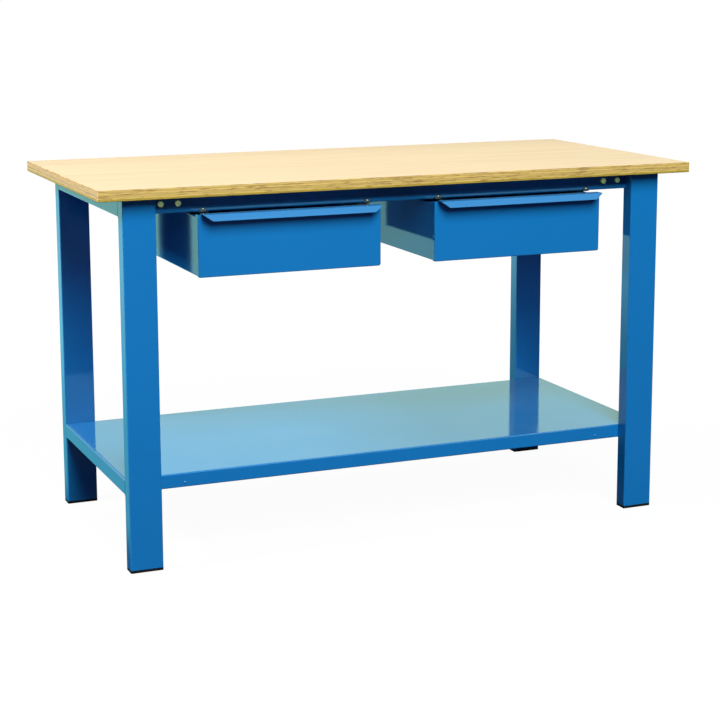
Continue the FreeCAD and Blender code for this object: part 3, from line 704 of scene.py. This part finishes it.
def closed_surface(rings: np.ndarray) -> Surface:
    """A closed surface from rings of points: quads from each ring to the next, and a face at each end.

    The faces are turned outwards by the sign of the volume inside them, which is a sixth of the sum of
    p0 . (p1 x p2) over the triangles.

    Args:
        rings: Points by ring, and by place round the ring.

    Returns:
        The surface.
    """
    count, width, _ = rings.shape
    numbers = np.arange(count * width).reshape(count, width)
    after = np.roll(numbers, -1, axis=1)
    quads = np.stack([numbers[:-1], after[:-1], after[1:], numbers[1:]], axis=-1).reshape(-1, 4)
    ends = np.stack([numbers[0, ::-1], numbers[-1]])
    points = rings.reshape(-1, 3)
    corners = (points - points.mean(axis=0))[quads]
    halves = [np.cross(corners[:, i], corners[:, i + 1]) for i in (1, 2)]
    inside = np.sum(corners[:, 0] * (halves[0] + halves[1]))
    way = 1 if inside > 0.0 else -1
    return Surface(points, quads[:, ::way], ends[:, ::way])


def new_piece(name: str, surfaces: Sequence[Surface], finish: Finish, body: str) -> Object:
    """One piece made of several closed surfaces, smooth but for its sharp corners.

    Args:
        name: The piece's name.
        surfaces: Its surfaces.
        finish: Its finish.
        body: The body that it moves with.

    Returns:
        The piece, in the scene.
    """
    counts = [len(surface.points) for surface in surfaces]
    firsts = np.cumsum([0, *counts[:-1]])
    faces = list(chain.from_iterable(map(Surface.faces_from, surfaces, firsts)))
    mesh = bpy.data.meshes.new(name)
    mesh.from_pydata(np.concatenate([surface.points for surface in surfaces]), [], faces)
    mesh.polygons.foreach_set("use_smooth", np.ones(len(mesh.polygons), bool))
    mesh.set_sharp_from_angle(angle=SHARP_CORNER)
    mesh.materials.append(finish.material)
    piece = put_in_scene(name, mesh)
    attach(piece, body)
    log.info("%s wears %s and rides on %s", name, finish.slot.value, body)
    return piece


@dataclass(frozen=True)
class Turned:
    """A round piece: a profile of radius and height, carried round an axis through its place."""

    place: Vector
    axis: Vector
    profile: np.ndarray
    steps: int = 28

    def surface(self) -> Surface:
        """The place, plus the height along the axis, plus the radius across it at each turn.

        Returns:
            The closed surface.
        """
        axis = np.array(self.axis)
        across = np.array(self.axis.orthogonal().normalized())
        turn = np.linspace(0.0, 2.0 * math.pi, self.steps, endpoint=False)[None, :, None]
        spoke = np.cos(turn) * across + np.sin(turn) * np.cross(axis, across)
        radius, height = (column[:, None, None] for column in self.profile.T)
        return closed_surface(np.array(self.place) + height * axis + radius * spoke)


@dataclass(frozen=True)
class RoundHead:
    """A screw with a domed round head over its seat and a plain shank under it."""

    head_radius: float
    head_height: float
    shank_radius: float
    shank_length: float
    dome_points: int = 9
    tip: float = 0.12

    def turned(self, seat: Vector, out: Vector) -> Turned:
        """The screw on its seat. Its head is a quarter of an ellipse, turned.

        Args:
            seat: Where the middle of the head's underside lies.
            out: The way that the head faces.

        Returns:
            The round piece.
        """
        turn = np.linspace(self.tip, math.pi / 2, self.dome_points)
        dome = np.stack([self.head_radius * np.sin(turn), self.head_height * np.cos(turn)], axis=-1)
        shank = np.array([[self.shank_radius, 0.0], [self.shank_radius, -self.shank_length]])
        return Turned(seat, out, np.concatenate([dome, shank]))

    def rows(self, box: tuple[Vector, Vector], places_x: Sequence[float]) -> list[Surface]:
        """Screws in a front and a rear row, with their heads facing out of the bench.

        Args:
            box: The box of the CAD screws, which reaches to the heads of both rows.
            places_x: Where the screws of a row stand along the bench.

        Returns:
            The screws' surfaces.
        """
        low, high = box
        z = (low.z + high.z) / 2.0
        screws = []
        for row, head_y in ((Row.FRONT, low.y), (Row.REAR, high.y)):
            seat_y = head_y + row.value * self.head_height
            out = Vector((0, -row.value, 0))
            screws += [self.turned(Vector((x, seat_y, z)), out).surface() for x in places_x]
        return screws


@dataclass(frozen=True)
class SpotWeld:
    """The mark of a spot weld: a shallow dish with a raised ring, its rim sunk into the sheet."""

    radius: float = 0.0034
    ring: float = 0.00028
    dish: float = 0.00006
    sunk: float = 0.0001
    hub: float = 0.1
    brim: float = 0.97
    points: int = 11

    def turned(self, place: Vector, out: Vector) -> Turned:
        """The mark on a sheet. Its height is the dish's, plus a ring that is one wave of a squared sine.

        Args:
            place: A point on the sheet's face.
            out: The way that the face looks.

        Returns:
            The round piece.
        """
        share = np.linspace(self.hub, self.brim, self.points)
        height = self.dish + self.ring * np.sin(math.pi * share**2) ** 2
        face = np.stack([self.radius * share, height], axis=-1)
        rim = np.array([[self.radius, -self.sunk], [self.hub * self.radius, -self.sunk]])
        return Turned(place, out, np.concatenate([face, rim]))


@dataclass(frozen=True)
class Bead:
    """A fillet weld in the corner between two faces.

    Its section is a quarter round about the corner's line. Its radius swells from little at the two
    ends, and carries ripples whose crests lag behind in the middle of the section.
    """

    start: Vector
    end: Vector
    first_out: Vector
    second_out: Vector
    radius: float = 0.0032
    pitch: float = 0.0021
    ripple: float = 0.1
    sunk: float = 0.0004
    least_swell: float = 0.1
    swell_power: int = 14
    crest_lag: float = 0.45
    steps_per_ripple: int = 6
    arc_points: int = 7

    def surface(self) -> Surface:
        """The bead as rings of one sunk point and an arc, along the corner.

        Returns:
            The closed surface.
        """
        line = np.array(self.end - self.start)
        ripples = np.linalg.norm(line) / self.pitch
        rows = int(ripples * self.steps_per_ripple) + 1
        along = np.linspace(0.0, 1.0, rows)[:, None]
        angle = np.linspace(0.0, math.pi / 2, self.arc_points)[None, :]
        fullness = 1.0 - np.abs(2.0 * along - 1.0) ** self.swell_power
        swell = np.sqrt(np.clip(fullness, self.least_swell**2, 1.0))
        lag = self.crest_lag * np.sin(2.0 * angle)
        wave = 0.5 + 0.5 * np.cos(2.0 * math.pi * (along * ripples - lag))
        reach = self.radius * swell * (1.0 - self.ripple * wave)
        first = np.array(self.first_out)
        second = np.array(self.second_out)
        arc = (reach * np.cos(angle))[..., None] * first + (reach * np.sin(angle))[..., None] * second
        root = -self.sunk * (first + second) * np.ones((rows, 1, 1))
        corner = np.array(self.start) + along[..., None] * line
        return closed_surface(np.concatenate([root, arc], axis=1) + corner)


@dataclass
class EndFrame:
    """One end of the bench: two legs on foot caps, and two side rails welded between them.

    Brackets for the long rails and cleats for the shelf are welded to the side rails.
    """

    side: Side
    finishes: Finishes
    body: str = "bench"
    tube_bead: float = 0.0035
    plate_bead: float = 0.0026
    bare_share: float = 0.25

    def _rail_beads(self, rail: str) -> Iterator[Bead]:
        """Beads under a side rail, where its two ends meet the legs.

        Args:
            rail: The rail's node.

        Yields:
            One bead at each end.
        """
        low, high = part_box(rail)
        for y, way in ((low.y, 1.0), (high.y, -1.0)):
            start = Vector((low.x, y, low.z))
            end = Vector((high.x, y, low.z))
            yield Bead(start, end, Vector((0, way, 0)), Vector((0, 0, -1)), self.tube_bead)

    def _plate_beads(self, plate: str, row: Row) -> Iterator[Bead]:
        """Beads round the welded leg of a bracket or cleat: along its end, and along its lower edge.

        Args:
            plate: The bracket's node.
            row: The row of legs that it stands at.

        Yields:
            The two beads.
        """
        low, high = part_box(plate)
        into_bench = Vector((-self.side.value, 0, 0))
        rail_x = high.x if self.side is Side.RIGHT else low.x
        end_y, root_y = (high.y, low.y) if row is Row.FRONT else (low.y, high.y)
        inset = self.bare_share * (end_y - root_y)
        start = Vector((rail_x, root_y + inset, low.z))
        corner = Vector((rail_x, end_y, low.z))
        top = Vector((rail_x, end_y, high.z))
        yield Bead(corner, top, into_bench, Vector((0, row.value, 0)), self.plate_bead)
        yield Bead(start, corner, into_bench, Vector((0, 0, -1)), self.plate_bead)

    def build(self) -> None:
        """Lays the frame's weld beads."""
        beads = []
        for level in ("upper", "lower"):
            beads += self._rail_beads(f"{level}_side_rail_{self.side.word}")
        for row in Row:
            for plate in ("rail_bracket", "shelf_cleat"):
                beads += self._plate_beads(f"{plate}_{row.word}_{self.side.word}", row)
        surfaces = [bead.surface() for bead in beads]
        new_piece(f"weld_beads_{self.side.word}", surfaces, self.finishes.enamel, self.body)

    def dress(self) -> None:
        """Finishes the frame's nodes."""
        for row in Row:
            corner = f"{row.word}_{self.side.word}"
            steel = [f"{part}_{corner}" for part in ("leg", "rail_bracket", "shelf_cleat")]
            cover(self.finishes.enamel, *steel)
            cover(self.finishes.plastic, f"foot_cap_{corner}")
        for level in ("upper", "lower"):
            cover(self.finishes.enamel, f"{level}_side_rail_{self.side.word}")


@dataclass
class Top:
    """The plywood worktop, the rails that carry it, and the bolts and screws between them."""

    finishes: Finishes
    body: str = "bench"
    runner_screw: RoundHead = RoundHead(0.0029, 0.0022, 0.00175, 0.009)

    def build(self) -> None:
        """Turns the runners' screws: a left and a right one for each drawer, on both long rails."""
        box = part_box("runner_screws")
        reach = box[1].x - self.runner_screw.head_radius
        places_x = []
        for drawer in Side:
            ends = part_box(f"{drawer.word}_drawer_front")
            middle = (ends[0].x + ends[1].x) / 2.0
            places_x += [middle + side.value * (reach - abs(middle)) for side in Side]
        screws = self.runner_screw.rows(box, places_x)
        piece = new_piece("runner_round_screws", screws, self.finishes.white_zinc, self.body)
        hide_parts("runner_screws")

    def dress(self) -> None:
        """Finishes the worktop, its rails and its fasteners."""
        cover(self.finishes.plywood, "worktop")
        cover(self.finishes.enamel, "front_rail", "rear_rail")
        cover(self.finishes.yellow_zinc, "rail_bolts", "rail_nuts")
        cover(self.finishes.white_zinc, "worktop_screws", "runner_screws")


@dataclass
class Shelf:
    """The folded shelf and the screws that hold it to its cleats."""

    finishes: Finishes
    body: str = "bench"
    screw: RoundHead = RoundHead(0.0032, 0.0022, 0.002, 0.0097)

    def build(self) -> None:
        """Turns the shelf's screws, near both ends of its flanges. They are painted with it."""
        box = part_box("shelf_screws")
        reach = box[1].x - self.screw.head_radius
        screws = self.screw.rows(box, [side.value * reach for side in Side])
        piece = new_piece("shelf_round_screws", screws, self.finishes.enamel, self.body)
        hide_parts("shelf_screws")

    def dress(self) -> None:
        """Finishes the shelf and its fasteners."""
        cover(self.finishes.enamel, "shelf", "shelf_screws", "shelf_nuts")


@dataclass
class Drawer:
    """One drawer, with the runners that it hangs in. Spot welds hold its front and rear to its tray."""

    side: Side
    finishes: Finishes
    weld: SpotWeld = SpotWeld()
    welds_per_joint: int = 3
    weld_from_edge: float = 0.0075
    weld_from_top: float = 0.03
    weld_from_bottom: float = 0.022

    @property
    def name(self) -> str:
        """The drawer's body, which its nodes are named for."""
        return f"{self.side.word}_drawer"

    def _weld_places(self) -> Iterator[tuple[Vector, Vector]]:
        """Where the spot welds lie: up the front's side returns, and up the tray's sides at the rear.

        Yields:
            Each place, and the way that the sheet looks there.
        """
        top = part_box(f"{self.name}_back")[1].z
        for sheet in ("front", "tray"):
            low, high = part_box(f"{self.name}_{sheet}")
            y = high.y - self.weld_from_edge
            lowest, highest = low.z + self.weld_from_bottom, top - self.weld_from_top
            for z in np.linspace(lowest, highest, self.welds_per_joint):
                for side, x in ((Side.LEFT, low.x), (Side.RIGHT, high.x)):
                    yield Vector((x, y, z)), Vector((side.value, 0, 0))

    def build(self) -> None:
        """Marks the drawer's spot welds."""
        marks = [self.weld.turned(place, out).surface() for place, out in self._weld_places()]
        new_piece(f"{self.name}_spot_welds", marks, self.finishes.enamel, self.name)

    def dress(self) -> None:
        """Finishes the drawer and its runners."""
        sheets = [f"{self.name}_{part}" for part in ("front", "tray", "back")]
        cover(self.finishes.enamel, *sheets)
        cover(self.finishes.nylon, f"{self.name}_glide_shoes", f"{self.name}_glide_pads")
        cover(self.finishes.galvanised, f"{self.name}_runner_left", f"{self.name}_runner_right")


@dataclass(frozen=True)
class Lamp:
    """A soft lamp: its place, what it points at, its width and height, and its power in watts."""

    name: str
    place: Point
    aim: Point
    width: float
    height: float
    power: float

    def build(self) -> None:
        """Hangs the lamp."""
        light = bpy.data.lights.new(self.name, "AREA")
        light.shape = "RECTANGLE"
        light.size = self.width
        light.size_y = self.height
        light.energy = self.power
        lamp = put_in_scene(self.name, light)
        lamp.location = self.place
        lamp.rotation_euler = (Vector(self.aim) - lamp.location).to_track_quat("-Z", "Y").to_euler()


@dataclass(frozen=True)
class MirroredFloor:
    """A painted reflection: the floor as gloss alone shows it, with painted shade ahead of and under the
    bench, tinted and bright behind it and on its left.

    Each span holds the places or distances between which one look turns to another.
    """

    near: Colour = (0.12, 0.64, 0.58)
    far: Colour = (0.47, 1.16, 1.08)
    far_right: Colour = (0.66, 2.00, 2.40)
    # Painted shade: how bright the floor ahead of and under the bench looks to gloss.
    ahead: float = 0.015
    past_right: float = 0.25
    near_to_far: Span = (1.0, 4.5)
    left_to_right: Span = (-1.5, -1.0)
    right_to_past: Span = (0.1, 0.7)
    ahead_to_behind: Span = (0.2, 0.6)
    under_to_left: Span = (-0.70, -0.80)
    ahead_to_left: Span = (-0.5, -0.3)

    def look(self, graph: Graph, places: Socket, distance: Socket) -> tuple[Socket, Socket]:
        """The painted reflection's colour and its brightness, which depend on the place.

        Args:
            graph: The floor's graph.
            places: Object coordinates.
            distance: Distance from the bench's middle.

        Returns:
            The colour, and the brightness.
        """
        x, y, _ = graph.parts(places)
        far = graph.mix(graph.rise(x, *self.left_to_right), self.far, self.far_right)
        tint = graph.mix(graph.rise(distance, *self.near_to_far), self.near, far)
        fade = graph.spread(graph.rise(x, *self.right_to_past), 1.0, self.past_right)
        behind = graph.math("MULTIPLY", graph.rise(y, *self.ahead_to_behind), fade)
        on_left = graph.rise(x, *self.under_to_left)
        beside = graph.math("MULTIPLY", on_left, graph.rise(y, *self.ahead_to_left))
        return tint, graph.spread(graph.math("MAXIMUM", behind, beside), self.ahead, 1.0)


@dataclass(frozen=True)
class Studio:
    """A pale floor, soft lamps, a white surround and the camera at the photograph's angle."""

    image_size: float = 720.0
    sensor: float = 36.0
    focal_pixels: float = 1796.33
    axis_row: float = 290.0
    azimuth: float = -22.69
    elevation: float = 9.97
    roll: float = -0.15
    eye: Point = (-1.71607, -4.12936, 1.34544)
    floor_half: float = 120.0
    floor_glow: float = 0.965
    floor_colour: Colour = (0.035, 0.035, 0.035)
    glow_to_white: Span = (1.2, 3.0)
    mirrored_floor: MirroredFloor = MirroredFloor()
    # Painted reflection: a tinted surround that only gloss sees.
    surround_in_gloss: Colour = (0.78, 1.22, 0.86)
    fill_colour: Colour = (0.01, 0.07, 1.0)
    fill: float = 0.15
    lamps: tuple[Lamp, ...] = (
        Lamp("key_softbox", (-0.5, -4.8, 4.2), (-0.1, 0.0, 0.5), 2.6, 3.4, 424.0),
        Lamp("left_softbox", (-5.6, 0.3, 5.0), (-0.5, 0.0, 0.5), 1.8, 1.8, 400.0),
        Lamp("rear_softbox", (1.8, 2.4, 4.2), (0.4, 0.0, 0.8), 2.0, 2.0, 22.0),
        Lamp("right_softbox", (4.4, 3.2, 1.4), (0.4, 0.0, 0.6), 1.6, 1.6, 60.0),
    )

    def _lookers(self, graph: Graph) -> tuple[Socket, Socket]:
        """Which rays look at the studio, rather than carry its light to the object.

        Args:
            graph: The graph of the floor or the surround.

        Returns:
            One for rays from the camera, and one for rays from gloss or glass.
        """
        rays = graph.node("ShaderNodeLightPath", {}).outputs
        from_gloss = graph.math("MAXIMUM", rays["Is Glossy Ray"], rays["Is Transmission Ray"])
        return rays["Is Camera Ray"], from_gloss

    def _floor_material(self) -> Material:
        """Mixes the floor: near white to the eye, a painted reflection to gloss, and dim as a thrower of
        light.

        Returns:
            The material.
        """
        material = bpy.data.materials.new("pale_floor")
        graph = clean_graph(material)
        places = graph.node("ShaderNodeTexCoord", {}).outputs["Object"]
        distance = graph.node("ShaderNodeVectorMath", {0: places}, operation="LENGTH").outputs["Value"]
        from_eye, from_gloss = self._lookers(graph)
        white = graph.spread(graph.rise(distance, *self.glow_to_white), self.floor_glow, 1.0)
        glow = graph.math("MULTIPLY", white, from_eye)
        tint, brightness = self.mirrored_floor.look(graph, places, distance)
        # A glow that only gloss sees: the painted reflection, kept dark as painted shade ahead of the
        # bench.
        painted_reflection_strength = graph.math("MULTIPLY", brightness, from_gloss)
        paper = graph.node("ShaderNodeEmission", {"Color": WHITE, "Strength": glow})
        painted_reflection = graph.node("ShaderNodeEmission", {"Color": tint, "Strength": painted_reflection_strength})
        diffuse = graph.node("ShaderNodeBsdfDiffuse", {"Color": self.floor_colour})
        glows = graph.node("ShaderNodeAddShader", {0: paper.outputs[0], 1: painted_reflection.outputs[0]})
        both = graph.node("ShaderNodeAddShader", {0: glows.outputs[0], 1: diffuse.outputs[0]})
        graph.node("ShaderNodeOutputMaterial", {"Surface": both.outputs[0]})
        return material

    def build_floor(self) -> None:
        """Lays the floor: a plane that takes the shadow."""
        half = self.floor_half
        across, along = np.meshgrid([-half, half], [-half, half])
        points = np.stack([across, along, np.zeros_like(across)], axis=-1).reshape(-1, 3)
        mesh = bpy.data.meshes.new("floor")
        mesh.from_pydata(points, [], [(0, 1, 3, 2)])
        mesh.materials.append(self._floor_material())
        floor = put_in_scene("floor", mesh)

    def build_surround(self) -> None:
        """Sets the world: white to the eye, a tinted painted reflection to gloss, a soft fill to
        everything else.
        """
        world = bpy.data.worlds.new("surround")
        graph = clean_graph(world)
        from_eye, from_gloss = self._lookers(graph)
        looked_at = graph.math("MAXIMUM", from_eye, from_gloss)
        strength = graph.spread(looked_at, self.fill, 1.0)
        fill_and_painted_reflection = graph.mix(from_gloss, self.fill_colour, self.surround_in_gloss)
        colour = graph.mix(from_eye, fill_and_painted_reflection, WHITE)
        background = graph.node("ShaderNodeBackground", {"Color": colour, "Strength": strength})
        graph.node("ShaderNodeOutputWorld", {"Surface": background.outputs[0]})
        bpy.context.scene.world = world

    def build_camera(self) -> None:
        """Sets the camera by the angles and the focal length that the photograph was read to have."""
        turn, tilt, roll = (math.radians(a) for a in (self.azimuth, self.elevation, self.roll))
        forward = Vector(
            (-math.sin(turn) * math.cos(tilt), math.cos(turn) * math.cos(tilt), -math.sin(tilt))
        )
        level = Vector((math.cos(turn), math.sin(turn), 0.0))
        upright = level.cross(forward)
        right = level * math.cos(roll) + upright * math.sin(roll)
        up = upright * math.cos(roll) - level * math.sin(roll)
        lens = bpy.data.cameras.new("camera")
        lens.sensor_width = self.sensor
        lens.lens = self.focal_pixels * self.sensor / self.image_size
        lens.shift_y = (self.axis_row - self.image_size / 2.0) / self.image_size
        camera = put_in_scene("camera", lens)
        turned = Matrix((right, up, -forward)).transposed().to_4x4()
        camera.matrix_world = Matrix.Translation(self.eye) @ turned
        bpy.context.scene.camera = camera

    def build(self) -> None:
        """Sets up the floor, the lamps, the surround and the camera."""
        self.build_floor()
        self.build_surround()
        for lamp in self.lamps:
            lamp.build()
        self.build_camera()
        bpy.context.scene.view_settings.view_transform = "Standard"


def main() -> None:
    """Builds the studio, then builds and dresses the bench, sub-assembly by sub-assembly."""
    logging.basicConfig(level=logging.INFO, format="%(name)s: %(message)s")
    Studio().build()
    finishes = Finishes()
    assemblies: list[Union[EndFrame, Drawer, Top, Shelf]] = []
    for side in Side:
        assemblies += [EndFrame(side, finishes), Drawer(side, finishes)]
    assemblies += [Top(finishes), Shelf(finishes)]
    for assembly in assemblies:
        assembly.build()
        assembly.dress()


if __name__ == "__main__":
    main()
